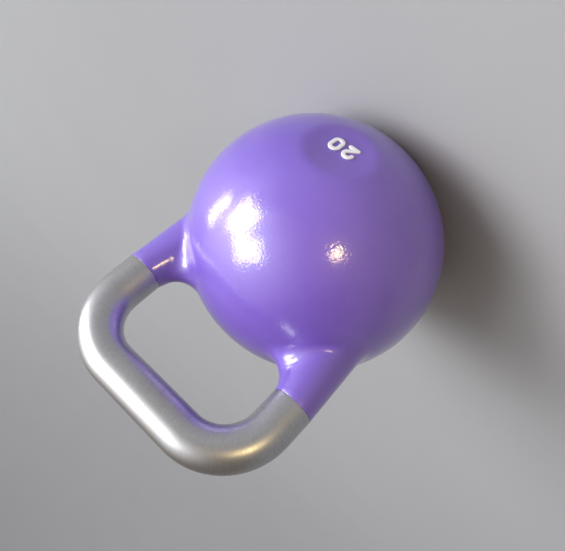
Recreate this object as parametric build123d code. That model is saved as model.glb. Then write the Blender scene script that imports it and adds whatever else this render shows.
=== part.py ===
from build123d import *
import math
import os

# Kettlebell: a hollow painted ball with ballast inside, two painted horns and a bare bent bar as its grip.
# Millimetres and degrees, +Z up through the handle. The origin is the middle of the base.
# The number faces -Y, and left and right are those of someone who reads it.

# Ball
ball_diameter = 210.0
ball_flattening = 3.0
base_diameter = 115.0
base_edge_fillet = 3.0
shell_wall = 7.5
base_thickness = 10.0

# Grip bar and horns
handle_diameter = 33.0
horn_inset = 10.0
window_height = 59.5
handle_corner_radius = 43.0
bare_leg_length = 22.0
horn_outer_lean = 2.5
horn_inner_lean = 17.5
horn_root_fillet = 18.0
horn_pad_diameter = 106.0
horn_pad_clearance = 0.1
spigot_shoulder = 4.5
spigot_clearance = 0.05
spigot_chamfer = 1.5
spigot_end_gap = 0.2
socket_floor = 10.0
weld_depth = 2.5

# Dish and number
dish_diameter = 53.0
dish_curve_radius = 300.0
dish_tilt = 8.0
dish_rim_fillet = 12.0
digit_height = 14.0
digit_width = 9.5
digit_stroke = 3.0
digit_spacing = 2.2
digit_proud = 1.2
two_neck_angle = 30.0
number_drop = 3.0

# Base plug, seal and ballast
plug_thread_diameter = 42.0
plug_thread_clearance = 0.1
plug_flange_reach = 5.0
plug_flange_clearance = 0.3
plug_flange_thickness = 4.0
plug_recess = 1.0
plug_hex_across_flats = 22.0
plug_hex_depth = 10.0
plug_edge_chamfer = 0.8
seal_thickness = 2.0
seal_bore_clearance = 0.2
boss_wall = 12.0
boss_height = 12.0
fill_shrinkage = 0.2

# Worked out from the sizes above
quarter_turn = 90.0
hexagon_sides = 6
ball_radius = ball_diameter / 2
ball_upright_radius = ball_radius - ball_flattening
ball_centre_height = ball_upright_radius * math.sqrt(1 - (base_diameter / ball_diameter) ** 2)
handle_radius = handle_diameter / 2
horn_place = ball_radius - horn_inset - handle_radius
horn_places = {"left": -horn_place, "right": horn_place}
grip_axis_height = ball_centre_height + ball_upright_radius + window_height + handle_radius
paint_line_height = grip_axis_height - handle_corner_radius - bare_leg_length
spigot_radius = handle_radius - spigot_shoulder
dish_radius = dish_diameter / 2
dish_tool_rise = math.sqrt(dish_curve_radius**2 - dish_radius**2)
dish_depth = dish_curve_radius - dish_tool_rise
plug_flange_diameter = plug_thread_diameter + 2 * plug_flange_reach
plug_seat_height = plug_recess + plug_flange_thickness + seal_thickness
boss_top = base_thickness + boss_height

ON_FOOT = (Align.CENTER, Align.CENTER, Align.MIN)
FROM_TOP = (Align.CENTER, Align.CENTER, Align.MAX)


def turned_ball(inset, *foot):
    """The ball's form drawn in by inset, closed below by foot, points that run from the axis outwards."""
    across = ball_radius - inset
    upright = ball_upright_radius - inset
    foot_height = foot[-1][1]
    start = math.asin((foot_height - ball_centre_height) / upright)
    half_span = (math.pi / 2 - start) / 2
    middle = start + half_span
    pull = math.cos(half_span)
    corner = (across * math.cos(middle) / pull, ball_centre_height + upright * math.sin(middle) / pull)
    crown = (0, ball_centre_height + upright)
    wall = Bezier((across * math.cos(start), foot_height), corner, crown, weights=[1, pull, 1])
    outline = [*wall.edges(), *Polyline(wall @ 1, *foot, wall @ 0).edges()]
    return revolve(Plane.YZ * make_face(outline), Axis.Z)


def cavity(clearance):
    """The space inside the shell, round the plug's boss, drawn in by clearance except at its floor."""
    boss_radius = plug_thread_diameter / 2 + boss_wall + clearance
    top = boss_top + clearance
    return turned_ball(shell_wall + clearance, (0, top), (boss_radius, top), (boss_radius, base_thickness))


def disc(radius, bottom, top):
    """An upright cylinder on the Z axis between two heights."""
    return Pos(0, 0, bottom) * Cylinder(radius, top - bottom, align=ON_FOOT)


def horn_stem(place):
    """A horn's stem, round and level at the paint line, that leans in and widens on its way down."""
    drop = paint_line_height - ball_centre_height
    inner, outer = (drop * math.tan(math.radians(lean)) for lean in (horn_inner_lean, horn_outer_lean))
    foot_place = place - math.copysign((inner + outer) / 2, place)
    foot = Pos(foot_place, 0, ball_centre_height) * Circle(handle_radius + (inner - outer) / 2)
    return loft([foot, Pos(place, 0, paint_line_height) * Circle(handle_radius)])


def horn_blend():
    """The fillet round a horn's root, limited to what ends below the paint line on its inner side."""
    inner_side = horn_place - handle_radius
    rise = paint_line_height - ball_centre_height
    mean_radius = (ball_radius + ball_upright_radius) / 2
    lean = math.radians(horn_inner_lean)
    slack = mean_radius + inner_side * math.cos(lean) - rise * math.sin(lean)
    room = (inner_side**2 + rise**2 - mean_radius**2) / slack / 2
    return min(horn_root_fillet, room)


def horn_cone(place, clearance):
    """The cone from the ball's middle that parts a horn, with its round pad of wall, from the shell."""
    spread = math.asin((horn_pad_diameter / 2 - clearance) / ball_radius)
    cone = Cone(0, grip_axis_height * math.tan(spread), grip_axis_height, align=ON_FOOT)
    return Pos(0, 0, ball_centre_height) * Rot(Y=math.degrees(math.asin(place / ball_radius))) * cone


def spigot_length():
    """How far a spigot reaches down, so that its socket leaves the floor's metal above the cavity."""
    inner_side = (horn_place - spigot_radius) / (ball_radius - shell_wall)
    roof = ball_centre_height + (ball_upright_radius - shell_wall) * math.sqrt(1 - inner_side**2)
    return paint_line_height - spigot_end_gap - socket_floor - roof


def socket(place):
    """The blind hole in a horn for a spigot of the bar."""
    radius = spigot_radius + spigot_clearance
    depth = spigot_length() + spigot_end_gap
    return Pos(place, 0, paint_line_height) * Cylinder(radius, depth, align=FROM_TOP)


def weld_groove(place):
    """The bevel round the top of a horn that its weld fills."""
    root = handle_radius - weld_depth
    reach = handle_radius + weld_depth
    bevel = Polyline((root, 0), (reach, 0), (reach, root - reach), close=True)
    return Pos(place, 0, paint_line_height) * revolve(Plane.XZ * make_face(bevel), Axis.Z)


def dish_mouth():
    """The plane across the dish's mouth, facing outwards, with its Y axis towards the handle."""
    tilt = math.radians(dish_tilt)
    outward = Vector(0, -math.cos(tilt), -math.sin(tilt))
    middle = Vector(0, 0, ball_centre_height) + outward * math.sqrt(ball_radius**2 - dish_radius**2)
    return Plane(origin=middle, x_dir=(1, 0, 0), z_dir=outward)


def outer_form():
    """The painted outside: ball and blended horns, the dish and the flat base."""
    ball = turned_ball(0, (0, 0))
    stems = [horn_stem(place) for place in horn_places.values()]
    blended = ball + stems
    blended = fillet(new_edges(ball, *stems, combined=blended), horn_blend())
    dish = dish_mouth() * Pos(0, 0, dish_tool_rise) * Rot(X=quarter_turn) * Sphere(dish_curve_radius)
    dished = blended - dish
    dished = fillet(new_edges(blended, combined=dished), dish_rim_fillet)
    return fillet(dished.edges().group_by(Axis.Z)[0], base_edge_fillet)


def make_ball_shell(form):
    """The hollow ball, with a round opening for each horn's pad and a plug hole in its base."""
    seat = disc(plug_flange_diameter / 2 + plug_flange_clearance, 0, plug_seat_height)
    bore = disc(plug_thread_diameter / 2 + plug_thread_clearance, 0, boss_top)
    openings = [horn_cone(place, 0) for place in horn_places.values()]
    return form - openings - cavity(0) - seat - bore


def make_horn(form, place):
    """A horn with its pad of the ball's wall, a socket for the bar and a groove for the weld."""
    whole = form & horn_cone(place, horn_pad_clearance)
    return whole - cavity(0) - socket(place) - weld_groove(place)


def make_handle_bar():
    """The bent grip bar, with a turned spigot below each end's shoulder."""
    path = FilletPolyline(
        (-horn_place, 0, paint_line_height),
        (-horn_place, 0, grip_axis_height),
        (horn_place, 0, grip_axis_height),
        (horn_place, 0, paint_line_height),
        radius=handle_corner_radius,
    )
    bar = sweep(Plane(path @ 0, z_dir=path % 0) * Circle(handle_radius), path)
    spigot = Cylinder(spigot_radius, spigot_length(), align=FROM_TOP)
    spigot = chamfer(spigot.edges().group_by(Axis.Z)[0], spigot_chamfer)
    return bar + [Pos(place, 0, paint_line_height) * spigot for place in horn_places.values()]


def make_weld(form, place):
    """The weld in one groove, ground flush with the horn."""
    return form & weld_groove(place)


def figure_two():
    """A stroked figure two about its own middle."""
    bowl = (digit_width - digit_stroke) / 2
    foot = (digit_stroke - digit_height) / 2
    crown = Vector(0, -foot - bowl)
    neck = crown + Vector(bowl, 0).rotate(Axis.Z, -two_neck_angle)
    turn = ThreePointArc(crown - Vector(bowl, 0), crown + Vector(0, bowl), neck)
    tail = Polyline(neck, (-bowl, foot), (bowl, foot))
    return SlotArc(Wire([*turn.edges(), *tail.edges()]), digit_stroke)


def figure_zero():
    """A stroked figure zero about its own middle."""
    hole_height = digit_height - 2 * digit_stroke
    hole_width = digit_width - 2 * digit_stroke
    hole = SlotOverall(hole_height, hole_width, rotation=quarter_turn)
    return SlotOverall(digit_height, digit_width, rotation=quarter_turn) - hole


def make_digit(figure, side, form):
    """A raised figure that stands on the dish's floor, on one side of the dish's middle."""
    step = side * (digit_width + digit_spacing) / 2
    face = dish_mouth() * Pos(step, -number_drop, digit_proud - dish_depth) * figure
    return extrude(face, amount=-digit_proud - dish_depth) - form


def make_base_plug():
    """The screw plug, with a flange that clamps the seal and a hexagon socket to turn it by."""
    thread = disc(plug_thread_diameter / 2, plug_recess, boss_top)
    flange = disc(plug_flange_diameter / 2, plug_recess, plug_recess + plug_flange_thickness)
    plug = thread + flange
    ends = plug.edges().group_by(Axis.Z)
    plug = chamfer(ends[0] + ends[-1], plug_edge_chamfer)
    hexagon = RegularPolygon(plug_hex_across_flats / 2, hexagon_sides, major_radius=False)
    return plug - extrude(Pos(0, 0, plug_recess) * hexagon, amount=plug_hex_depth)


def make_plug_seal():
    """The flat sealing ring between the plug's flange and the base."""
    bottom = plug_recess + plug_flange_thickness
    ring = disc(plug_flange_diameter / 2, bottom, plug_seat_height)
    return ring - disc(plug_thread_diameter / 2 + seal_bore_clearance, bottom, plug_seat_height)


def main():
    form = outer_form()
    pieces = {
        "ball_shell": make_ball_shell(form),
        "handle_bar": make_handle_bar(),
        "ballast_fill": cavity(fill_shrinkage),
        "base_plug": make_base_plug(),
        "plug_seal": make_plug_seal(),
        "digit_two": make_digit(figure_two(), -1, form),
        "digit_zero": make_digit(figure_zero(), 1, form),
    }
    for side, place in horn_places.items():
        pieces[f"horn_{side}"] = make_horn(form, place)
        pieces[f"handle_weld_{side}"] = make_weld(form, place)
    os.makedirs("parts", exist_ok=True)
    for name, piece in pieces.items():
        export_step(piece, f"parts/{name}.step")


main()
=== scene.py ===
import logging
import math
from contextlib import contextmanager
from dataclasses import dataclass
from enum import Enum
from typing import Any, Callable, ClassVar, Iterator, Sequence, Union

import bmesh
import bpy
import numpy as np
from mathutils import Matrix, Quaternion, Vector


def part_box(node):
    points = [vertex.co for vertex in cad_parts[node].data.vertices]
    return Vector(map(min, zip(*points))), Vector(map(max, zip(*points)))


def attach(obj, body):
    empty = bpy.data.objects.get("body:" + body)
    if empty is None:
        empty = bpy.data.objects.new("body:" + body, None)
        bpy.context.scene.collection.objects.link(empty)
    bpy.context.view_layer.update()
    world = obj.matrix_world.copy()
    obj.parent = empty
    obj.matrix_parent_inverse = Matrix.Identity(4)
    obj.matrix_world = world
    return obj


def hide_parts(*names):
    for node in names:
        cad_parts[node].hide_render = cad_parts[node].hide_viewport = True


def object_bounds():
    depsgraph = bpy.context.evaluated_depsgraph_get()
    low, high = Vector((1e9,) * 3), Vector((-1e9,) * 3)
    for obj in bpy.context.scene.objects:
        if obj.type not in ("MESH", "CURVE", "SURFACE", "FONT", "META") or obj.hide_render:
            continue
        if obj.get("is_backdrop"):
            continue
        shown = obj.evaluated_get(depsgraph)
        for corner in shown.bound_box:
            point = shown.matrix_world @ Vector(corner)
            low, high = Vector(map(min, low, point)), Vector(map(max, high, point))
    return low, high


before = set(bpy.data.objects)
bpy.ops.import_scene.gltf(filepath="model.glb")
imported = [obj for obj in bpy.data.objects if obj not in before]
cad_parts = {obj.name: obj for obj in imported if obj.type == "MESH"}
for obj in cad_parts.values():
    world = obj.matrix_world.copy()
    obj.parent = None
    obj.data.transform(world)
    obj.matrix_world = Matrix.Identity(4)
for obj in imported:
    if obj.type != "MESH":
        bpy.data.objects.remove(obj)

CAD_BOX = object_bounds()
LOG = logging.getLogger("kettlebell")

# Lengths are in metres and angles in radians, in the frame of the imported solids, with +Z up.
MM = 0.001
FULL_TURN = 2 * math.pi
SHARP_EDGE = math.radians(38)
EDGE_TURNS = np.radians([0, 30, 60, 90])
CUT_GAP = 1e-7
JOIN_GAP = 1e-6
NEWTON_STEPS = 6
HALVINGS = 44
BODY = "root"
DAYLIGHT = (0.96, 0.98, 1.0)
LAMPLIGHT = (1.0, 0.73, 0.32)
ROOMLIGHT = (1.0, 0.86, 0.74)

Points = np.ndarray
Span = tuple[float, float]
Spot = tuple[float, float]
Triple = tuple[float, float, float]
Colour = Triple
Section = tuple[float, float, float, float]


class Slot(Enum):
    """The record's material slots that the scene's own pieces stand for."""

    PAINT = "purple_paint"
    STEEL = "bare_steel"
    NUMBER = "white_paint"


class Side(Enum):
    """A side of the bell, with its sign along X."""

    LEFT = -1
    RIGHT = 1


class Socket:
    """A shader node's output on which Python's arithmetic adds Math nodes."""

    def __init__(self, graph: "Graph", link: bpy.types.NodeSocket) -> None:
        """Keeps the output and the graph that it is in."""
        self.graph = graph
        self.link = link

    def _maths(self, operation: str, first: "Number", second: "Number") -> "Socket":
        """Adds one Math node.

        Args:
            operation: Blender's name of the operation.
            first: The upper input.
            second: The lower input.

        Returns:
            The node's output.
        """
        return self.graph.node("ShaderNodeMath", {"operation": operation}, {0: first, 1: second})

    def __add__(self, other: "Number") -> "Socket":
        """This value plus another."""
        return self._maths("ADD", self, other)

    def __radd__(self, other: "Number") -> "Socket":
        """Another value plus this."""
        return self._maths("ADD", other, self)

    def __sub__(self, other: "Number") -> "Socket":
        """This value less another."""
        return self._maths("SUBTRACT", self, other)

    def __rsub__(self, other: "Number") -> "Socket":
        """Another value less this."""
        return self._maths("SUBTRACT", other, self)

    def __mul__(self, other: "Number") -> "Socket":
        """This value times another."""
        return self._maths("MULTIPLY", self, other)

    def __rmul__(self, other: "Number") -> "Socket":
        """Another value times this."""
        return self._maths("MULTIPLY", other, self)


Number = Union[Socket, float]


class Graph:
    """The shader nodes of one material or of the world."""

    def __init__(self, owner: bpy.types.Material | bpy.types.World) -> None:
        """Empties the node tree.

        Args:
            owner: The material or the world that it belongs to.
        """
        owner.use_nodes = True
        self.owner = owner
        self.tree = owner.node_tree
        self.tree.nodes.clear()

    @classmethod
    def of_material(cls, name: str) -> "Graph":
        """The graph of a new material."""
        return cls(bpy.data.materials.new(name))

    def node(
        self,
        kind: str,
        settings: dict[str, Any] | None = None,
        sockets: dict[str | int, Any] | None = None,
        output: str | int = 0,
    ) -> Socket:
        """Adds a node.

        Args:
            kind: Blender's name of the node's type.
            settings: The node's own settings.
            sockets: Values, or outputs to link, by the input's name or index.
            output: The output to hand back.

        Returns:
            That output.
        """
        made = self.tree.nodes.new(kind)
        for key, value in (settings or {}).items():
            setattr(made, key, value)
        for key, value in (sockets or {}).items():
            if isinstance(value, Socket):
                self.tree.links.new(value.link, made.inputs[key])
            else:
                made.inputs[key].default_value = value
        return Socket(self, made.outputs[output])

    def place(self) -> Socket:
        """The point on the surface, in the bell's own frame."""
        return self.node("ShaderNodeTexCoord", output="Object")

    def noise(self, where: Socket, grain: float, detail: float = 2.0) -> Socket:
        """Smooth noise from 0 to 1.

        Args:
            where: The coordinate that it is read at.
            grain: The size of its coarsest spots, in the coordinate's unit.
            detail: How many finer layers it has.

        Returns:
            The noise.
        """
        sockets = {"Vector": where, "Scale": 1 / grain, "Detail": detail}
        return self.node("ShaderNodeTexNoise", None, sockets)

    def ramp(self, value: Socket, low: float, high: float) -> Socket:
        """A value's smooth rise from 0 at low to 1 at high.

        Args:
            value: What rises.
            low: Where the result leaves 0.
            high: Where it reaches 1.

        Returns:
            The rise, level outside those ends.
        """
        smooth = {"interpolation_type": "SMOOTHSTEP"}
        return self.node("ShaderNodeMapRange", smooth, {0: value, 1: low, 2: high, 3: 0.0, 4: 1.0})

    def patches(self, where: Socket, size: float, edges: Span, detail: float) -> Socket:
        """Soft patches of noise, from 0 between them to 1 within.

        Args:
            where: The coordinate that they are read at.
            size: How large they are, in the coordinate's unit.
            edges: The noise at their outer and inner edge.
            detail: How many finer layers the noise has.

        Returns:
            The patches.
        """
        return self.ramp(self.noise(where, size, detail), *edges)

    def mix(self, share: Number, first: Socket | Colour, second: Socket | Colour) -> Socket:
        """Blends two colours.

        Args:
            share: How much of the second colour shows.
            first: The colour at 0.
            second: The colour at 1.

        Returns:
            The blend.
        """
        ends = [end if isinstance(end, Socket) else (*end, 1.0) for end in (first, second)]
        return self.node("ShaderNodeMix", {"data_type": "RGBA"}, {0: share, 6: ends[0], 7: ends[1]}, 2)

    def stretch(self, where: Socket, factors: Triple) -> Socket:
        """A coordinate multiplied axis by axis."""
        return self.node("ShaderNodeVectorMath", {"operation": "MULTIPLY"}, {0: where, 1: factors})

    def reach(self, where: Socket, direction: Triple) -> Socket:
        """How far a coordinate lies along a direction."""
        product = {"operation": "DOT_PRODUCT"}
        return self.node("ShaderNodeVectorMath", product, {0: where, 1: direction}, "Value")

    def bump(self, height: Socket, depth: float) -> Socket:
        """A normal bent by a height from 0 to 1 that stands for that depth in metres."""
        return self.node("ShaderNodeBump", None, {"Strength": 1.0, "Distance": depth, "Height": height})

    def finish(self, **sockets: Any) -> bpy.types.Material:
        """Ends the material in one Principled shader.

        Args:
            **sockets: The shader's inputs, with _ for each space in their names.

        Returns:
            The material.
        """
        inputs = {name.replace("_", " "): value for name, value in sockets.items()}
        self.close("ShaderNodeOutputMaterial", self.node("ShaderNodeBsdfPrincipled", None, inputs))
        return self.owner

    def close(self, kind: str, shader: Socket) -> None:
        """Links a shader to an output node of that kind."""
        end = self.tree.nodes.new(kind)
        self.tree.links.new(shader.link, end.inputs["Surface"])


@dataclass(frozen=True)
class GlossPaint:
    """Glossy purple enamel with fine orange peel, a little cloudy, scuffed where it meets the floor.

    Its sharp gloss, which shows the peel, lies under a broad soft sheen.
    """

    colour: Colour = (0.178, 0.090, 0.545)
    deep_colour: Colour = (0.145, 0.070, 0.485)
    scuff_colour: Colour = (0.150, 0.110, 0.260)
    peel_size: float = 2.0 * MM
    peel_depth: float = 0.17 * MM
    ripple_size: float = 0.8 * MM
    ripple_share: float = 0.25
    cloud_size: float = 90 * MM
    cloud_edges: Span = (0.35, 0.70)
    smudge_size: float = 22 * MM
    smudge_edges: Span = (0.45, 0.75)
    smudge_roughness: float = 0.04
    smudge_loss: float = 0.10
    scuff_size: float = 9.0 * MM
    scuff_edges: Span = (0.52, 0.66)
    scuff_height: float = 3.0 * MM
    scuff_share: float = 0.8
    scuff_roughness: float = 0.35
    scuff_loss: float = 0.7
    roughness: float = 0.10
    gloss: float = 0.75
    sheen_roughness: float = 0.48
    sheen_ior: float = 1.68

    def material(self) -> bpy.types.Material:
        """Mixes the paint.

        Returns:
            The material.
        """
        graph = Graph.of_material("purple_gloss_paint")
        place = graph.place()
        height = graph.node("ShaderNodeSeparateXYZ", None, {0: place}, "Z")
        clouds = graph.patches(place, self.cloud_size, self.cloud_edges, detail=3.0)
        tone = graph.mix(clouds, self.colour, self.deep_colour)
        near_floor = 1 - graph.ramp(height, 0.0, self.scuff_height)
        scuffs = near_floor * graph.patches(place, self.scuff_size, self.scuff_edges, detail=8.0)
        smudges = graph.patches(place, self.smudge_size, self.smudge_edges, detail=4.0)
        peel = graph.noise(place, self.peel_size, detail=1.0)
        ripple = graph.noise(place, self.ripple_size, detail=1.0)
        waves = peel * (1 - self.ripple_share) + ripple * self.ripple_share
        return graph.finish(
            Base_Color=graph.mix(scuffs * self.scuff_share, tone, self.scuff_colour),
            Roughness=self.roughness + smudges * self.smudge_roughness + scuffs * self.scuff_roughness,
            Specular_IOR_Level=self.gloss,
            Coat_Weight=1.0 - smudges * self.smudge_loss - scuffs * self.scuff_loss,
            Coat_Roughness=self.sheen_roughness,
            Coat_IOR=self.sheen_ior,
            Normal=graph.bump(waves, self.peel_depth),
        )


@dataclass(frozen=True)
class BrushedSteel:
    """Bare steel, polished round the bar, so that its fine marks run across its length."""

    colour: Colour = (0.52, 0.52, 0.53)
    worn_colour: Colour = (0.45, 0.445, 0.45)
    stain_colour: Colour = (0.36, 0.33, 0.30)
    mark_width: float = 0.40 * MM
    mark_length: float = 5.0 * MM
    mark_depth: float = 0.003 * MM
    worn_edges: Span = (0.42, 0.66)
    worn_roughness: float = 0.05
    hair_width: float = 0.20 * MM
    hair_length: float = 9.0 * MM
    hair_share: float = 0.4
    hair_roughness: float = 0.06
    stain_size: float = 26.0 * MM
    stain_edges: Span = (0.50, 0.78)
    stain_share: float = 0.35
    stain_roughness: float = 0.05
    roughness: float = 0.33

    def material(self) -> bpy.types.Material:
        """Brushes the steel.

        Returns:
            The material, for a mesh that holds the bar's straightened coordinate.
        """
        graph = Graph.of_material("brushed_grip_steel")
        along = graph.node("ShaderNodeAttribute", {"attribute_name": GripBar.GRAIN}, None, "Vector")
        mark_place = self._drawn_out(graph, along, self.mark_width, self.mark_length)
        hair_place = self._drawn_out(graph, along, self.hair_width, self.hair_length)
        marks = graph.noise(mark_place, grain=1.0, detail=3.0)
        hairs = graph.noise(hair_place, grain=1.0, detail=2.0)
        stains = graph.patches(along, self.stain_size, self.stain_edges, detail=4.0)
        worn = graph.ramp(marks, *self.worn_edges)
        metal = graph.mix(worn, self.colour, self.worn_colour)
        rough = worn * self.worn_roughness + hairs * self.hair_roughness + stains * self.stain_roughness
        return graph.finish(
            Base_Color=graph.mix(stains * self.stain_share, metal, self.stain_colour),
            Metallic=1.0,
            Roughness=self.roughness + rough,
            Normal=graph.bump(marks * (1 - self.hair_share) + hairs * self.hair_share, self.mark_depth),
        )

    @staticmethod
    def _drawn_out(graph: Graph, along: Socket, width: float, length: float) -> Socket:
        """The bar's coordinate, scaled so that noise of grain 1 makes marks that wide and that long."""
        return graph.stretch(along, (1 / width, 1 / length, 1 / length))


@dataclass(frozen=True)
class NumberEnamel:
    """White enamel on the raised number, with painted shade darkening its foot where it meets the dish
    floor.
    """

    dish: "Dish"
    colour: Colour = (0.83, 0.84, 0.90)
    aged_colour: Colour = (0.74, 0.72, 0.74)
    # The foot colour, height and share below are painted shade where the number meets the dish floor.
    foot_shade_colour: Colour = (0.20, 0.13, 0.22)
    mottle_size: float = 1.4 * MM
    mottle_depth: float = 0.02 * MM
    mottle_roughness: float = 0.14
    aged_edges: Span = (0.50, 0.75)
    aged_share: float = 0.6
    foot_shade_height: float = 0.55 * MM
    foot_shade_share: float = 0.85
    roughness: float = 0.36

    def material(self) -> bpy.types.Material:
        """Mixes the enamel.

        Returns:
            The material.
        """
        graph = Graph.of_material("white_number_enamel")
        place = graph.place()
        outward = self.dish.outward
        level = graph.reach(place, outward[:])
        floor = self.dish.mouth.translation.dot(outward) - self.dish.depth
        # Painted shade: the white darkens towards the number's foot, next to the dish floor.
        foot = 1 - graph.ramp(level, floor, floor + self.foot_shade_height)
        mottle = graph.noise(place, self.mottle_size, detail=4.0)
        aged = graph.ramp(mottle, *self.aged_edges)
        white = graph.mix(aged * self.aged_share, self.colour, self.aged_colour)
        return graph.finish(
            # Mixes the painted shade in at the number's foot.
            Base_Color=graph.mix(foot * self.foot_shade_share, white, self.foot_shade_colour),
            Roughness=self.roughness + mottle * self.mottle_roughness,
            Normal=graph.bump(mottle, self.mottle_depth),
        )


@dataclass(frozen=True)
class TurnedSteel:
    """Dark oiled steel with the rings that a lathe leaves."""

    colour: Colour = (0.30, 0.30, 0.31)
    oil_colour: Colour = (0.16, 0.15, 0.14)
    ring_pitch: float = 0.45 * MM
    ring_depth: float = 0.03 * MM
    ring_share: float = 0.5
    ring_roughness: float = 0.15
    oil_size: float = 16.0 * MM
    oil_edges: Span = (0.42, 0.68)
    oil_share: float = 0.35
    oil_roughness: float = 0.10
    roughness: float = 0.30

    def material(self) -> bpy.types.Material:
        """Turns and oils the steel.

        Returns:
            The material.
        """
        graph = Graph.of_material("turned_plug_steel")
        place = graph.place()
        flat = graph.stretch(place, (1.0, 1.0, 0.0))
        radius = graph.node("ShaderNodeVectorMath", {"operation": "LENGTH"}, {0: flat}, "Value")
        pitch = {"W": radius, "Scale": 1 / self.ring_pitch}
        rings = graph.node("ShaderNodeTexNoise", {"noise_dimensions": "1D"}, pitch)
        oil = graph.patches(place, self.oil_size, self.oil_edges, detail=5.0)
        dark = rings * self.ring_share + oil * self.oil_share
        return graph.finish(
            Base_Color=graph.mix(dark, self.colour, self.oil_colour),
            Metallic=1.0,
            Roughness=self.roughness + rings * self.ring_roughness + oil * self.oil_roughness,
            Normal=graph.bump(rings, self.ring_depth),
        )


@dataclass(frozen=True)
class SealRubber:
    """Black rubber, dusty and finely pitted."""

    colour: Colour = (0.030, 0.030, 0.032)
    dust_colour: Colour = (0.085, 0.080, 0.075)
    pit_size: float = 0.5 * MM
    pit_depth: float = 0.05 * MM
    dust_size: float = 4.0 * MM
    dust_edges: Span = (0.45, 0.72)
    dust_share: float = 0.7
    dust_roughness: float = 0.2
    roughness: float = 0.62

    def material(self) -> bpy.types.Material:
        """Moulds the rubber.

        Returns:
            The material.
        """
        graph = Graph.of_material("seal_rubber_black")
        place = graph.place()
        dust = graph.patches(place, self.dust_size, self.dust_edges, detail=5.0)
        pits = graph.noise(place, self.pit_size, detail=2.0)
        return graph.finish(
            Base_Color=graph.mix(dust * self.dust_share, self.colour, self.dust_colour),
            Roughness=self.roughness + dust * self.dust_roughness,
            Normal=graph.bump(pits, self.pit_depth),
        )


@dataclass(frozen=True)
class BoundSand:
    """Grey mineral and iron sand, set hard in resin."""

    colour: Colour = (0.33, 0.31, 0.29)
    grit_colour: Colour = (0.12, 0.11, 0.10)
    grit_size: float = 1.8 * MM
    grit_depth: float = 0.3 * MM
    grit_edges: Span = (0.50, 0.62)
    grit_roughness: float = 0.10
    roughness: float = 0.80

    def material(self) -> bpy.types.Material:
        """Binds the fill.

        Returns:
            The material.
        """
        graph = Graph.of_material("bound_sand_fill")
        place = graph.place()
        grains = {"Vector": place, "Scale": 1 / self.grit_size}
        cells = graph.node("ShaderNodeTexVoronoi", None, grains, "Distance")
        grit = graph.patches(place, self.grit_size, self.grit_edges, detail=3.0)
        return graph.finish(
            Base_Color=graph.mix(grit, self.colour, self.grit_colour),
            Roughness=self.roughness + grit * self.grit_roughness,
            Normal=graph.bump(cells, self.grit_depth),
        )


@dataclass(frozen=True)
class FloorPaint:
    """A pale matt studio floor."""

    colour: Colour = (0.32, 0.32, 0.33)
    patch_colour: Colour = (0.30, 0.30, 0.31)
    patch_size: float = 250 * MM
    grain_size: float = 0.8 * MM
    grain_depth: float = 0.04 * MM
    grain_roughness: float = 0.15
    roughness: float = 0.75
    gloss: float = 0.1

    def material(self) -> bpy.types.Material:
        """Mixes the floor's paint.

        Returns:
            The material.
        """
        graph = Graph.of_material("pale_studio_floor")
        place = graph.place()
        patches = graph.noise(place, self.patch_size, detail=3.0)
        grain = graph.noise(place, self.grain_size, detail=2.0)
        return graph.finish(
            Base_Color=graph.mix(patches, self.colour, self.patch_colour),
            Roughness=self.roughness + grain * self.grain_roughness,
            Specular_IOR_Level=self.gloss,
            Normal=graph.bump(grain, self.grain_depth),
        )


class Loft:
    """A mesh laid over closed rings of equally many points, in order, with the last ring filled."""

    def __init__(self, name: str, rings: Sequence[Points], filled_start: bool = True) -> None:
        """Keeps what the mesh is laid over.

        Args:
            name: The mesh's name.
            rings: The rings, each an array of points.
            filled_start: Whether the first ring is filled too.
        """
        self.name = name
        self.rings = list(rings)
        self.filled_start = filled_start

    def mesh(self) -> bpy.types.Mesh:
        """Lays the quads.

        Returns:
            The mesh, with its faces pointing outwards.
        """
        around = len(self.rings[0])
        here = np.arange(around)
        following = np.roll(here, -1)
        faces: list[Sequence[int]] = []
        for start in range(0, around * (len(self.rings) - 1), around):
            quads = np.stack([here, following, following + around, here + around], axis=1) + start
            faces.extend(quads.tolist())
        if self.filled_start:
            faces.append(here[::-1].tolist())
        faces.append((here + around * (len(self.rings) - 1)).tolist())
        mesh = bpy.data.meshes.new(self.name)
        mesh.from_pydata(np.concatenate(self.rings).tolist(), [], faces)
        return mesh


@contextmanager
def opened(mesh: bpy.types.Mesh) -> Iterator[bmesh.types.BMesh]:
    """Opens a mesh for edits and writes them back at the end.

    Args:
        mesh: The mesh.

    Yields:
        What the edits are made on.
    """
    work = bmesh.new()
    work.from_mesh(mesh)
    yield work
    work.to_mesh(mesh)
    work.free()


def add_to_scene(name: str, data: bpy.types.ID) -> bpy.types.Object:
    """Puts a new object into the scene.

    Args:
        name: Its name.
        data: Its mesh, lamp or camera.

    Returns:
        The object.
    """
    added = bpy.data.objects.new(name, data)
    bpy.context.scene.collection.objects.link(added)
    return added


def place_piece(
    mesh: bpy.types.Mesh, finish: bpy.types.Material, slot: Slot, nodes: Sequence[str]
) -> bpy.types.Object:
    """Puts a finished mesh into the scene in place of solids.

    Args:
        mesh: The mesh, in the bell's frame, which also names the piece.
        finish: Its material.
        slot: The record's slot that it stands for. Not used.
        nodes: The solids that it replaces.

    Returns:
        The piece.
    """
    with opened(mesh) as work:
        bmesh.ops.recalc_face_normals(work, faces=work.faces)
    mesh.shade_smooth()
    mesh.set_sharp_from_angle(angle=SHARP_EDGE)
    mesh.materials.append(finish)
    piece = add_to_scene(mesh.name, mesh)
    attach(piece, BODY)
    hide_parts(*nodes)
    LOG.info("%s: %d faces for %s", piece.name, len(mesh.polygons), ", ".join(nodes))
    return piece


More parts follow.
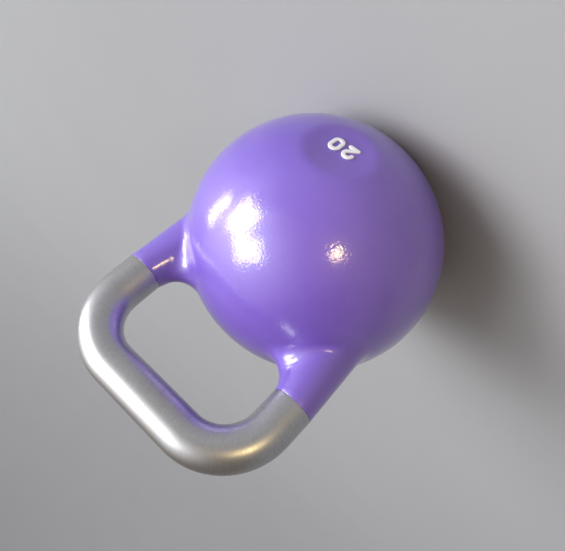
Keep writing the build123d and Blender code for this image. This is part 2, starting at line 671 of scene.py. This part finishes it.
def graded(
    span: Span,
    count: int,
    centre: float,
    reach: float,
    gain: float,
    samples: int = 4001,
    steepness: int = 4,
) -> Points:
    """Places over a span that lie closer together about a centre.

    Args:
        span: The first and the last place.
        count: How many places there are.
        centre: Where they are closest.
        reach: How far from the centre they stay close.
        gain: By how much closer they lie there, over 1.
        samples: How finely their density is added up.
        steepness: How suddenly they spread out past the reach.

    Returns:
        The places in order.
    """
    fine = np.linspace(*span, samples)
    density = 1 + gain * np.exp(-(((fine - centre) / reach) ** steepness))
    total = np.concatenate([[0.0], np.cumsum((density[1:] + density[:-1]) / 2)])
    return np.interp(np.linspace(0, total[-1], count), total, fine)


def soft_least(first: Points, second: Points, softness: float) -> Points:
    """The smaller of two heights, with the edge where they cross rounded over that softness."""
    overlap = np.maximum(softness - np.abs(first - second), 0) / softness
    return np.minimum(first, second) - overlap**2 * softness / 4


@dataclass(frozen=True)
class BellForm:
    """The bell's main sizes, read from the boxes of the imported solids, and two that no box shows."""

    ball_radius: float
    crown_height: float
    bar_radius: float
    horn_place: float
    grip_height: float
    paint_line: float
    spigot_bottom: float
    ball_flattening: float = 3 * MM
    spigot_radius: float = 12 * MM

    @classmethod
    def from_frame(cls) -> "BellForm":
        """Reads the sizes.

        Returns:
            The form.
        """
        ball_low, ball_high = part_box("ball_shell")
        bar_low, bar_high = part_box("handle_bar")
        bar_radius = (bar_high.y - bar_low.y) / 2
        return cls(
            ball_radius=(ball_high.x - ball_low.x) / 2,
            crown_height=ball_high.z,
            bar_radius=bar_radius,
            horn_place=bar_high.x - bar_radius,
            grip_height=bar_high.z - bar_radius,
            paint_line=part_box("handle_weld_right")[1].z,
            spigot_bottom=bar_low.z,
        )

    @property
    def upright_radius(self) -> float:
        """The ball's radius along Z."""
        return self.ball_radius - self.ball_flattening

    @property
    def centre_height(self) -> float:
        """The height of the ball's middle."""
        return self.crown_height - self.upright_radius

    @property
    def centre(self) -> Points:
        """The ball's middle."""
        return np.array([0, 0, self.centre_height])

    @property
    def radii(self) -> Points:
        """The ball's radii along X, Y and Z."""
        return np.array([self.ball_radius, self.ball_radius, self.upright_radius])

    def on_ball(self, directions: Points) -> Points:
        """The ball's points in unit directions of the sphere that it is flattened from."""
        return directions * self.radii + self.centre

    def direction(self, points: Points) -> Points:
        """The unit directions of points on the ball, the reverse of on_ball."""
        return (points - self.centre) / self.radii

    def nearest_on_ball(self, points: Points) -> Points:
        """The ball's nearest points.

        Args:
            points: Points outside the ball.

        Returns:
            The point of the ball's surface that is nearest to each.
        """
        across, upright = self.ball_radius, self.upright_radius
        excess = across**2 - upright**2
        reach = np.hypot(points[:, 0], points[:, 1])
        rise = points[:, 2] - self.centre_height
        turn = np.arctan2(rise * across, reach * upright)
        for _ in range(NEWTON_STEPS):
            sine, cosine = np.sin(turn), np.cos(turn)
            slope = excess * sine * cosine - reach * across * sine + rise * upright * cosine
            change = excess * np.cos(2 * turn) - reach * across * cosine - rise * upright * sine
            turn = turn - slope / change
        flat = points[:, :2] * (across * np.cos(turn) / reach)[:, None]
        return np.column_stack([flat, self.centre_height + upright * np.sin(turn)])

    def height_over_ball(self, points: Points) -> Points:
        """How far points lie outside the ball's surface, or below zero inside it."""
        gap = np.linalg.norm(points - self.nearest_on_ball(points), axis=1)
        return np.where(np.linalg.norm(self.direction(points), axis=1) < 1, -gap, gap)


@dataclass(frozen=True)
class Dish:
    """The shallow round dish on the ball's front."""

    form: BellForm
    radius: float = 26.5 * MM
    curve_radius: float = 300 * MM
    rim_fillet: float = 24 * MM
    tilt: float = math.radians(8)

    @property
    def outward(self) -> Vector:
        """The direction out of the dish."""
        return Vector((0, -math.cos(self.tilt), -math.sin(self.tilt)))

    @property
    def mouth(self) -> Matrix:
        """Sets up the frame of the dish's mouth.

        Returns:
            The frame, with X to the right, Y towards the handle and Z outwards.
        """
        across = Vector((1, 0, 0))
        turn = Matrix((across, self.outward.cross(across), self.outward)).transposed()
        middle = self.outward * math.sqrt(self.form.ball_radius**2 - self.radius**2)
        return Matrix.Translation(middle + Vector((0, 0, self.form.centre_height))) @ turn.to_4x4()

    @property
    def depth(self) -> float:
        """How far the dish's middle lies below its mouth."""
        return self.curve_radius - math.sqrt(self.curve_radius**2 - self.radius**2)

    def press(self, points: Points) -> Points:
        """Presses the dish into the ball's surface.

        Args:
            points: Points on the ball.

        Returns:
            The points, those over the dish moved in along its axis.
        """
        outward = np.array(self.outward)
        offset = points - np.array(self.mouth.translation)
        level = offset @ outward
        reach = np.linalg.norm(offset - level[:, None] * outward, axis=1)
        sunk = np.sqrt(np.maximum(self.curve_radius**2 - reach**2, 0))
        floor = self.curve_radius - self.depth - sunk
        meeting = self.radius / self.form.ball_radius + self.radius / self.curve_radius
        pressed = soft_least(level, floor, self.rim_fillet * meeting**2 / 2)
        near = (reach < 2 * self.radius) & (level > -self.radius)
        return points + np.where(near, pressed - level, 0.0)[:, None] * outward


@dataclass(frozen=True)
class Horn:
    """One painted horn, from its pad on the ball up to the paint line and down into its socket.

    It widens towards the ball, and more so on its inner side. Its root fillet is the smallest at the
    front and back.
    """

    form: BellForm
    side: Side
    outer_lean: float = math.radians(2.5)
    inner_lean: float = math.radians(17.5)
    outer_fillet: float = 30 * MM
    inner_fillet: float = 22 * MM
    front_fillet: float = 7 * MM
    edge_round: float = 0.25 * MM
    socket_clearance: float = 0.2 * MM
    pad_rings: int = 12
    fillet_rings: int = 12
    stem_rings: int = 8

    @property
    def top(self) -> Points:
        """The middle of the horn's top."""
        return np.array([self.side.value * self.form.horn_place, 0, self.form.paint_line])

    @property
    def shift(self) -> float:
        """How far the horn's middle moves in towards the bell's middle for each unit down."""
        return (math.tan(self.inner_lean) + math.tan(self.outer_lean)) / 2

    @property
    def flare(self) -> float:
        """How much the horn's radius grows for each unit down."""
        return (math.tan(self.inner_lean) - math.tan(self.outer_lean)) / 2

    def rings(self, pad: Points) -> list[Points]:
        """Runs the horn's rings.

        Args:
            pad: A ring of points on the ball, well outside the horn's root.

        Returns:
            The rings inside the pad's, in order, up the horn and down into its socket.
        """
        turns = np.arctan2(pad[:, 1], self.side.value * pad[:, 0] - self.form.horn_place)
        fillets = self._fillets(turns)
        drops = self._fillet_drops(turns, fillets)
        normals = self._normals(turns)
        spine = self._skin(turns, drops) + fillets[:, None] * normals
        foot = self.form.nearest_on_ball(spine)
        return [
            *self._pad(pad, foot),
            *self._fillet(spine, foot, normals, fillets),
            *self._stem(turns, drops),
            *self._mouth(turns),
        ]

    def _fillets(self, turns: Points) -> Points:
        """Sizes the root fillet.

        Args:
            turns: Angles round the horn, 0 away from the bell's middle.

        Returns:
            The fillet's radius at each angle.
        """
        outward = np.cos(turns)
        widest = np.where(outward > 0, self.outer_fillet, self.inner_fillet)
        return self.front_fillet + (widest - self.front_fillet) * outward**2

    def _skin(self, turns: Points, drops: Points) -> Points:
        """Points on the horn's side.

        Args:
            turns: Their angles round the horn, 0 away from the bell's middle.
            drops: How far they lie below the horn's top.

        Returns:
            The points.
        """
        radii = self.form.bar_radius + self.flare * drops
        reach = self.form.horn_place - self.shift * drops + radii * np.cos(turns)
        heights = self.form.paint_line - drops
        return np.column_stack([self.side.value * reach, radii * np.sin(turns), heights])

    def _normals(self, turns: Points) -> Points:
        """Works out which way the horn's side faces.

        Args:
            turns: Angles round the horn.

        Returns:
            The direction out of it at each angle.
        """
        rise = self.flare - self.shift * np.cos(turns)
        normals = np.column_stack([self.side.value * np.cos(turns), np.sin(turns), rise])
        return normals / np.linalg.norm(normals, axis=1)[:, None]

    def _fillet_drops(self, turns: Points, fillets: Points) -> Points:
        """Where a ball of the fillet's radius rests against both the horn and the bell's ball.

        Args:
            turns: The angles round the horn.
            fillets: The fillet's radius at each angle.

        Returns:
            How far below the horn's top it touches the horn, for each angle.
        """
        normals = self._normals(turns)
        high = np.zeros(len(turns))
        low = np.full(len(turns), self.form.paint_line - self.form.centre_height)
        for _ in range(HALVINGS):
            middle = (low + high) / 2
            gap = self.form.height_over_ball(self._skin(turns, middle) + fillets[:, None] * normals)
            low = np.where(gap < fillets, middle, low)
            high = np.where(gap < fillets, high, middle)
        return high

    def _pad(self, pad: Points, foot: Points) -> list[Points]:
        """Runs rings over the ball.

        Args:
            pad: The ring that they start after.
            foot: The fillet's foot, which is the last of them.

        Returns:
            The rings.
        """
        first, last = self.form.direction(pad), self.form.direction(foot)
        rings = []
        for share in np.linspace(0, 1, self.pad_rings + 1)[1:]:
            blend = first + (last - first) * share
            rings.append(self.form.on_ball(blend / np.linalg.norm(blend, axis=1)[:, None]))
        return rings

    def _fillet(self, spine: Points, foot: Points, normals: Points, fillets: Points) -> list[Points]:
        """The rings over the fillet, from after its foot to its upper end.

        Args:
            spine: The fillet's centres.
            foot: Where it meets the ball.
            normals: The directions out of the horn's side.
            fillets: The fillet's radius at each point.

        Returns:
            The rings.
        """
        below = (spine - foot) / fillets[:, None]
        span = np.arccos(np.clip((below * normals).sum(axis=1), -1, 1))[:, None]
        rings = []
        for share in np.linspace(0, 1, self.fillet_rings + 1)[1:]:
            start, stop = np.sin((1 - share) * span), np.sin(share * span)
            toward = (start * below + stop * normals) / np.sin(span)
            rings.append(spine - fillets[:, None] * toward)
        return rings

    def _stem(self, turns: Points, drops: Points) -> list[Points]:
        """The rings from after the fillet's upper end to just below the level top."""
        shares = np.linspace(0, 1, self.stem_rings + 1)[1:]
        return [self._skin(turns, drops + (self.edge_round - drops) * share) for share in shares]

    def _mouth(self, turns: Points) -> list[Points]:
        """The rings over the rounded top edge, in to the socket and down to its floor.

        Args:
            turns: The ring's angles round the horn.

        Returns:
            The rings.
        """
        outer = self.form.bar_radius - self.edge_round
        bore = self.form.spigot_radius + self.socket_clearance
        profile = [
            (outer + self.edge_round * math.cos(angle), self.edge_round * (math.sin(angle) - 1))
            for angle in EDGE_TURNS[1:]
        ]
        floor = self.form.spigot_bottom - self.socket_clearance - self.form.paint_line
        profile += [(bore, 0.0), (bore, floor)]
        circle = np.column_stack([self.side.value * np.cos(turns), np.sin(turns), np.zeros_like(turns)])
        return [self.top + radius * circle + np.array([0, 0, rise]) for radius, rise in profile]


@dataclass
class PaintedBody:
    """The painted ball and its two horns as one skin, with the dish and the flat, plugged base."""

    form: BellForm
    dish: Dish
    pad_radius: float = 56 * MM
    base_fillet: float = 3 * MM
    seat_chamfer: float = 0.6 * MM
    seat_clearance: float = 0.3 * MM
    plug_hole_radius: float = 21.1 * MM
    columns: int = 336
    rows: int = 140
    dish_gain: float = 2.6
    dish_margin: float = 6 * MM
    fillet_steps: int = 5

    def build(self, finish: bpy.types.Material) -> bpy.types.Object:
        """Builds and dresses the body.

        Args:
            finish: The paint.

        Returns:
            The piece.
        """
        ball = self._ball_rings()
        left = Horn(self.form, Side.LEFT).rings(ball[0])
        right = Horn(self.form, Side.RIGHT).rings(ball[-1])
        mesh = Loft("painted_body", [*left[::-1], *ball, *right]).mesh()
        self._flatten_base(mesh)
        replaced = ("ball_shell", "horn_left", "horn_right", "handle_weld_left", "handle_weld_right")
        return place_piece(mesh, finish, Slot.PAINT, replaced)

    def _ball_rings(self) -> list[Points]:
        """Rings over the ball that run round one horn at first and round the other at last.

        They are the circles that keep the ratio of the distances to two poles, one under each horn,
        drawn on a plane and wrapped back onto the ball.

        Returns:
            The rings, with the dish pressed in.
        """
        middle = math.asin(self.form.horn_place / self.form.ball_radius)
        spread = math.asin(self.pad_radius / self.form.ball_radius)
        inner, outer = math.tan((middle - spread) / 2), math.tan((middle + spread) / 2)
        pole = math.sqrt(inner * outer)
        end = math.log((pole + inner) / (pole - inner))
        front = math.tan((math.pi / 2 + self.dish.tilt) / 2) / pole
        dish_turn = FULL_TURN - 2 * math.atan(front)
        scale = pole * (1 + front**2) / (1 + (pole * front) ** 2) * self.form.ball_radius
        reach = (self.dish.radius + self.dish_margin) / scale
        turns = graded((0, FULL_TURN), self.columns + 1, dish_turn, reach, self.dish_gain)[:-1]
        rings = []
        for ratio in graded((-end, end), self.rows, 0.0, reach, self.dish_gain):
            spot = np.exp(ratio + 1j * turns)
            flat = pole * (spot - 1) / (spot + 1)
            size = np.abs(flat) ** 2
            directions = np.column_stack([2 * flat.real, 2 * flat.imag, 1 - size]) / (1 + size)[:, None]
            rings.append(self.dish.press(self.form.on_ball(directions)))
        return rings

    def _flatten_base(self, mesh: bpy.types.Mesh) -> None:
        """Cuts the ball off at its base and closes it with the base, the plug's seat and its hole.

        Args:
            mesh: The skin of ball and horns.
        """
        (cut_radius, cut_height), *profile = self._base_profile()
        with opened(mesh) as work:
            cut = bmesh.ops.bisect_plane(
                work,
                geom=work.verts[:] + work.edges[:] + work.faces[:],
                dist=CUT_GAP,
                plane_co=(0, 0, cut_height),
                plane_no=(0, 0, 1),
                clear_inner=True,
            )
            loop = [item for item in cut["geom_cut"] if isinstance(item, bmesh.types.BMVert)]
            loop.sort(key=lambda vertex: math.atan2(vertex.co.y, vertex.co.x))
            for vertex in loop:
                vertex.co = self._moved(vertex, cut_radius, cut_height)
            for radius, height in profile:
                ring = [work.verts.new(self._moved(vertex, radius, height)) for vertex in loop]
                for index in range(len(loop)):
                    work.faces.new((loop[index - 1], loop[index], ring[index], ring[index - 1]))
                loop = ring
            work.faces.new(loop)

    @staticmethod
    def _moved(vertex: bmesh.types.BMVert, radius: float, height: float) -> Triple:
        """The place on a vertex's side of the bell's axis at that radius and height."""
        return (*(vertex.co.xy.normalized() * radius), height)

    def _base_profile(self) -> list[Spot]:
        """The base's outline from the ball inwards.

        Returns:
            Radius and height of each ring: the rounded edge, the flat, the plug's seat and its hole.
        """
        form = self.form
        sine = (self.base_fillet - form.centre_height) / (form.upright_radius - self.base_fillet)
        cosine = math.sqrt(1 - sine**2)
        centre = (form.ball_radius - self.base_fillet) * cosine
        steep = math.atan2(sine / form.upright_radius, cosine / form.ball_radius)
        arc = [
            (centre + self.base_fillet * math.cos(angle), self.base_fillet * (1 + math.sin(angle)))
            for angle in np.linspace(steep, -math.pi / 2, self.fillet_steps + 1)
        ]
        plug_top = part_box("base_plug")[1]
        seal_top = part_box("plug_seal")[1]
        seat = seal_top.x + self.seat_clearance
        return [
            *arc,
            (seat + self.seat_chamfer, 0.0),
            (seat, self.seat_chamfer),
            (seat, seal_top.z),
            (self.plug_hole_radius, seal_top.z),
            (self.plug_hole_radius, plug_top.z),
        ]


@dataclass
class GripBar:
    """The bare bar, bent to the grip, with a spigot below each shoulder."""

    form: BellForm
    corner_radius: float = 43 * MM
    edge_round: float = 0.25 * MM
    spigot_chamfer: float = 1.5 * MM
    around: int = 96
    leg_rings: int = 14
    bend_rings: int = 30
    top_rings: int = 26

    GRAIN: ClassVar[str] = "bar_grain"

    def build(self, finish: bpy.types.Material) -> bpy.types.Object:
        """Builds and dresses the bar.

        Args:
            finish: The bare steel.

        Returns:
            The piece.
        """
        route = [*self._end(), *self._half_loop()]
        mirrored = [(-x, z, math.pi - turn, radius) for x, z, turn, radius in reversed(route)]
        rings, grain = self._sections([*route, *mirrored])
        mesh = Loft("grip_bar", rings).mesh()
        straight = mesh.attributes.new(self.GRAIN, "FLOAT_VECTOR", "POINT")
        straight.data.foreach_set("vector", np.concatenate(grain).ravel())
        return place_piece(mesh, finish, Slot.STEEL, ("handle_bar",))

    def _end(self) -> list[Section]:
        """The left spigot from its bottom, and the shoulder's rounded edge.

        Returns:
            Each section's X, Z, turn from upright and radius.
        """
        form = self.form
        place, line = -form.horn_place, form.paint_line
        spigot = form.spigot_radius
        sections = [
            (place, form.spigot_bottom, 0.0, spigot - self.spigot_chamfer),
            (place, form.spigot_bottom + self.spigot_chamfer, 0.0, spigot),
            (place, line, 0.0, spigot),
        ]
        for angle in EDGE_TURNS:
            radius = form.bar_radius - self.edge_round * (1 - math.sin(angle))
            sections.append((place, line + self.edge_round * (1 - math.cos(angle)), 0.0, radius))
        return sections

    def _half_loop(self) -> list[Section]:
        """The left leg above its shoulder, the left bend and the left half of the top.

        Returns:
            Each section's X, Z, turn from upright and radius.
        """
        form = self.form
        radius = form.bar_radius
        left = -form.horn_place
        bend_start = form.grip_height - self.corner_radius
        legs = np.linspace(form.paint_line + self.edge_round, bend_start, self.leg_rings + 1)[1:]
        sections = [(left, height, 0.0, radius) for height in legs]
        for turn in np.linspace(0, math.pi / 2, self.bend_rings + 1)[1:]:
            across = left + self.corner_radius * (1 - math.cos(turn))
            sections.append((across, bend_start + self.corner_radius * math.sin(turn), turn, radius))
        for across in np.linspace(left + self.corner_radius, 0, self.top_rings // 2 + 1)[1:-1]:
            sections.append((across, form.grip_height, math.pi / 2, radius))
        return sections

    def _sections(self, route: Sequence[Section]) -> tuple[list[Points], list[Points]]:
        """Sets a circle at each section.

        Args:
            route: Each section's X, Z, turn from upright and radius, from one spigot to the other.

        Returns:
            The rings, and for each the bar's straightened coordinate: the length so far and the place
            within the section.
        """
        angles = np.linspace(0, FULL_TURN, self.around, endpoint=False)
        circle = np.column_stack([np.zeros_like(angles), np.cos(angles), np.sin(angles)])
        back = np.array([0.0, 1.0, 0.0])
        rings, grain = [], []
        length = 0.0
        for index, (x, z, turn, radius) in enumerate(route):
            if index:
                length += math.hypot(x - route[index - 1][0], z - route[index - 1][1])
            across = np.array([-math.cos(turn), 0.0, math.sin(turn)])
            offset = radius * (circle[:, 1:2] * across + circle[:, 2:] * back)
            rings.append(np.array([x, 0, z]) + offset)
            grain.append(radius * circle + np.array([length, 0.0, 0.0]))
        return rings, grain


@dataclass
class NumberMark:
    """The raised number in the dish."""

    dish: Dish
    height: float = 14.0 * MM
    width: float = 9.5 * MM
    stroke: float = 3.0 * MM
    spacing: float = 2.2 * MM
    proud: float = 1.2 * MM
    drop: float = 3.0 * MM
    edge_round: float = 0.42 * MM
    root: float = 0.4 * MM
    edge_steps: int = 4
    arc_steps: int = 14

    def build(self, finish: bpy.types.Material) -> list[bpy.types.Object]:
        """Builds and dresses the two figures.

        Args:
            finish: The enamel.

        Returns:
            The pieces.
        """
        figures = (("digit_two", Side.LEFT, self._two()), ("digit_zero", Side.RIGHT, self._zero()))
        return [self._figure(node, side, outlines, finish) for node, side, outlines in figures]

    def _figure(
        self, node: str, side: Side, outlines: list[Points], finish: bpy.types.Material
    ) -> bpy.types.Object:
        """Raises one figure from its outlines.

        Args:
            node: The solid that it stands for.
            side: Which side of the number's middle it is on.
            outlines: Its edge, and its hole's edge if it has one, about its own middle.
            finish: The enamel.

        Returns:
            The piece.
        """
        thickness = self.proud + self.root
        curve = bpy.data.curves.new(node, "CURVE")
        curve.dimensions = "2D"
        curve.fill_mode = "BOTH"
        curve.extrude = thickness / 2 - self.edge_round
        curve.bevel_depth = self.edge_round
        curve.bevel_resolution = self.edge_steps
        curve.offset = -self.edge_round
        for outline in outlines:
            spline = curve.splines.new("POLY")
            spline.points.add(len(outline) - 1)
            padded = np.column_stack([outline, np.zeros((len(outline), 2))])
            spline.points.foreach_set("co", padded.ravel())
            spline.use_cyclic_u = True
        shape = bpy.data.objects.new(node, curve)
        mesh = bpy.data.meshes.new_from_object(shape)
        bpy.data.objects.remove(shape)
        mesh.name = f"raised_{node}"
        step = side.value * (self.width + self.spacing) / 2
        level = self.proud - self.dish.depth - thickness / 2
        mesh.transform(self.dish.mouth @ Matrix.Translation((step, -self.drop, level)))
        with opened(mesh) as work:
            bmesh.ops.remove_doubles(work, verts=work.verts, dist=JOIN_GAP)
        return place_piece(mesh, finish, Slot.NUMBER, (node,))

    def _arc(self, centre: Spot, radius: float, start: float, stop: float) -> list[Spot]:
        """Points on an arc.

        Args:
            centre: Its middle.
            radius: Its radius.
            start: The angle that it starts at.
            stop: The angle that it ends at.

        Returns:
            The points, both ends among them.
        """
        x, y = centre
        angles = np.linspace(start, stop, self.arc_steps)
        return [(x + radius * math.cos(angle), y + radius * math.sin(angle)) for angle in angles]

    def _two(self) -> list[Points]:
        """Draws a figure two: a bowl, a straight neck that leaves it smoothly, and a foot.

        Returns:
            Its one outline.
        """
        half = self.stroke / 2
        bowl = self.width / 2 - half
        crown = (0.0, self.height / 2 - half - bowl)
        corner = (-bowl, half - self.height / 2)
        run, fall = corner[0] - crown[0], corner[1] - crown[1]
        leave = math.atan2(fall, run) + math.acos(bowl / math.hypot(run, fall))
        top = corner[1] + half
        along = (top - corner[1] - half * math.sin(leave)) / math.sin(leave + math.pi / 2)
        inside = corner[0] + half * math.cos(leave) + along * math.cos(leave + math.pi / 2)
        points = [
            *self._arc(crown, bowl + half, math.pi, leave),
            (inside, top),
            *self._arc((bowl, corner[1]), half, math.pi / 2, -math.pi / 2),
            *self._arc(corner, half, -math.pi / 2, leave - math.pi),
            *self._arc(crown, bowl - half, leave, math.pi),
            *self._arc((-bowl, crown[1]), half, 0.0, -math.pi),
        ]
        return [np.array(points)]

    def _zero(self) -> list[Points]:
        """Draws a figure zero: an upright oval with straight sides, and its hole.

        Returns:
            Its outline and its hole's.
        """
        outlines = []
        for inset in (0.0, self.stroke):
            radius = self.width / 2 - inset
            rise = (self.height - self.width) / 2
            upper = self._arc((0.0, rise), radius, 0.0, math.pi)
            lower = self._arc((0.0, -rise), radius, math.pi, FULL_TURN)
            outlines.append(np.array([*upper, *lower]))
        return outlines


@dataclass(frozen=True)
class InnerPieces:
    """The solids that keep their own shape: the plug, its seal and the fill."""

    finishes: dict[str, Callable[[], bpy.types.Material]]

    def dress(self) -> None:
        """Gives each solid its material."""
        for node, finish in self.finishes.items():
            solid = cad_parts[node]
            solid.data.materials.clear()
            solid.data.materials.append(finish())
            LOG.info("%s: dressed", node)


class LampShape(Enum):
    """The outline of a soft lamp, by Blender's names."""

    PANE = "RECTANGLE"
    ROUND = "ELLIPSE"


@dataclass(frozen=True)
class SoftBox:
    """A soft lamp that faces the ball's middle, a window's pane unless it says otherwise.

    Its glow is how bright it is to look at, so a larger lamp gives more light.
    """

    name: str
    toward: Triple
    width: float
    height: float
    roll: float = 0.0
    distance: float = 5.2
    glow: float = 11.5
    colour: Colour = DAYLIGHT
    shape: LampShape = LampShape.PANE
    spread: float = math.pi

    def build(self, target: Vector) -> bpy.types.Object:
        """Sets up the lamp.

        Args:
            target: What it faces.

        Returns:
            The lamp.
        """
        lamp = bpy.data.lights.new(self.name, "AREA")
        lamp.shape = self.shape.value
        lamp.size = self.width
        lamp.size_y = self.height
        lamp.energy = self.glow * math.pi * self.width * self.height
        lamp.color = self.colour
        lamp.spread = self.spread
        holder = add_to_scene(self.name, lamp)
        direction = Vector(self.toward).normalized()
        holder.location = target + direction * self.distance
        facing = direction.to_track_quat("Z", "Y") @ Quaternion((0, 0, 1), self.roll)
        holder.rotation_euler = facing.to_euler()
        holder.visible_camera = False
        return holder


@dataclass(frozen=True)
class Studio:
    """The pale floor under the bell, the soft light and the camera."""

    form: BellForm
    floor_flat: float = 1.0
    floor_reach: float = 6.0
    floor_rise: float = 3.0
    floor_power: int = 3
    floor_rings: int = 24
    floor_sides: int = 96
    room_glow: float = 0.20
    window_glow: float = 0.9
    window_side: Triple = (0.55, -0.30, 0.78)
    window_edges: Span = (0.42, 1.0)
    window_lift: float = 0.35
    camera_place: Triple = (-0.13643, -0.37256, 0.29608)
    camera_right: Triple = (-0.7351, -0.0454, -0.6765)
    camera_up: Triple = (0.6022, -0.5021, -0.6207)
    camera_nearest: float = 10 * MM
    lens_in_mm: float = 34.49
    sensor_in_mm: float = 36.0

    def build(self) -> None:
        """Sets up the floor, the lamps, the world and the camera."""
        self._floor()
        self._lamps()
        self._world()
        self._camera()
        bpy.context.scene.view_settings.view_transform = "Standard"

    def _floor(self) -> None:
        """Lays the floor, flat under the bell and rising gently all round."""
        turns = np.linspace(0, FULL_TURN, self.floor_sides, endpoint=False)
        spokes = np.stack([np.cos(turns), np.sin(turns), np.zeros_like(turns)], axis=1)
        climb = np.linspace(0, 1, self.floor_rings)
        reaches = self.floor_flat + climb * (self.floor_reach - self.floor_flat)
        heights = self.floor_rise * climb**self.floor_power
        rings = [spokes * reach + (0, 0, height) for reach, height in zip(reaches, heights)]
        mesh = Loft("studio_floor", rings[::-1], filled_start=False).mesh()
        mesh.shade_smooth()
        mesh.materials.append(FloorPaint().material())
        floor = add_to_scene("studio_floor", mesh)
        floor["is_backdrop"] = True
        LOG.info("studio_floor: laid")

    def _lamps(self) -> None:
        """Hangs the lamps round the ball's middle."""
        target = Vector((0, 0, self.form.centre_height))
        lamps = (
            SoftBox(
                "window_lamp",
                toward=(0.678, -0.415, 0.607),
                width=2.58,
                height=2.16,
                roll=math.radians(42),
            ),
            SoftBox(
                "upper_window_lamp",
                toward=(0.41, -0.295, 0.863),
                width=2.44,
                height=1.62,
                roll=math.radians(-8),
            ),
            SoftBox(
                "side_window_lamp",
                toward=(0.921, -0.042, 0.387),
                width=2.28,
                height=0.80,
                roll=math.radians(12),
            ),
            SoftBox(
                "warm_lamp",
                toward=(-0.583, -0.734, 0.348),
                width=0.15,
                height=0.15,
                distance=1.0,
                glow=2.8,
                colour=LAMPLIGHT,
                shape=LampShape.ROUND,
                spread=math.radians(60),
            ),
        )
        for lamp in lamps:
            lamp.build(target)
            LOG.info("%s: hung", lamp.name)

    def _world(self) -> None:
        """Lights the room softly, more towards the windows and less near the horizon."""
        graph = Graph(bpy.data.worlds.new("studio_room"))
        toward = graph.node("ShaderNodeTexCoord", output="Generated")
        rise = graph.node("ShaderNodeSeparateXYZ", None, {0: toward}, "Z")
        beside_windows = graph.ramp(graph.reach(toward, self.window_side), *self.window_edges)
        near_windows = beside_windows * graph.ramp(rise, 0.0, self.window_lift)
        glow = self.room_glow + near_windows * self.window_glow
        hue = graph.mix(near_windows, ROOMLIGHT, DAYLIGHT)
        light = graph.node("ShaderNodeBackground", None, {0: hue, 1: glow})
        graph.close("ShaderNodeOutputWorld", light)
        bpy.context.scene.world = graph.owner

    def _camera(self) -> None:
        """Sets the camera where the photograph was taken from."""
        lens = bpy.data.cameras.new("photo_camera")
        lens.lens = self.lens_in_mm
        lens.sensor_fit = "HORIZONTAL"
        lens.sensor_width = self.sensor_in_mm
        lens.clip_start = self.camera_nearest
        right, up = Vector(self.camera_right), Vector(self.camera_up)
        turn = Matrix((right, up, right.cross(up))).transposed().to_4x4()
        camera = add_to_scene("photo_camera", lens)
        camera.matrix_world = Matrix.Translation(Vector(self.camera_place)) @ turn
        bpy.context.scene.camera = camera


def write_sizes() -> None:
    """Works out the solids' box and the dressed bell's box as plain numbers, and keeps neither.
    """
    boxes = {"cad": CAD_BOX, "visual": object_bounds()}
    {name: [list(corner) for corner in box] for name, box in boxes.items()}


def main() -> None:
    """Builds the bell piece by piece, then the studio round it."""
    logging.basicConfig(level=logging.INFO, format="%(message)s")
    form = BellForm.from_frame()
    dish = Dish(form)
    PaintedBody(form, dish).build(GlossPaint().material())
    GripBar(form).build(BrushedSteel().material())
    NumberMark(dish).build(NumberEnamel(dish).material())
    inner = {
        "base_plug": TurnedSteel().material,
        "plug_seal": SealRubber().material,
        "ballast_fill": BoundSand().material,
    }
    InnerPieces(inner).dress()
    Studio(form).build()
    write_sizes()


if __name__ == "__main__":
    main()
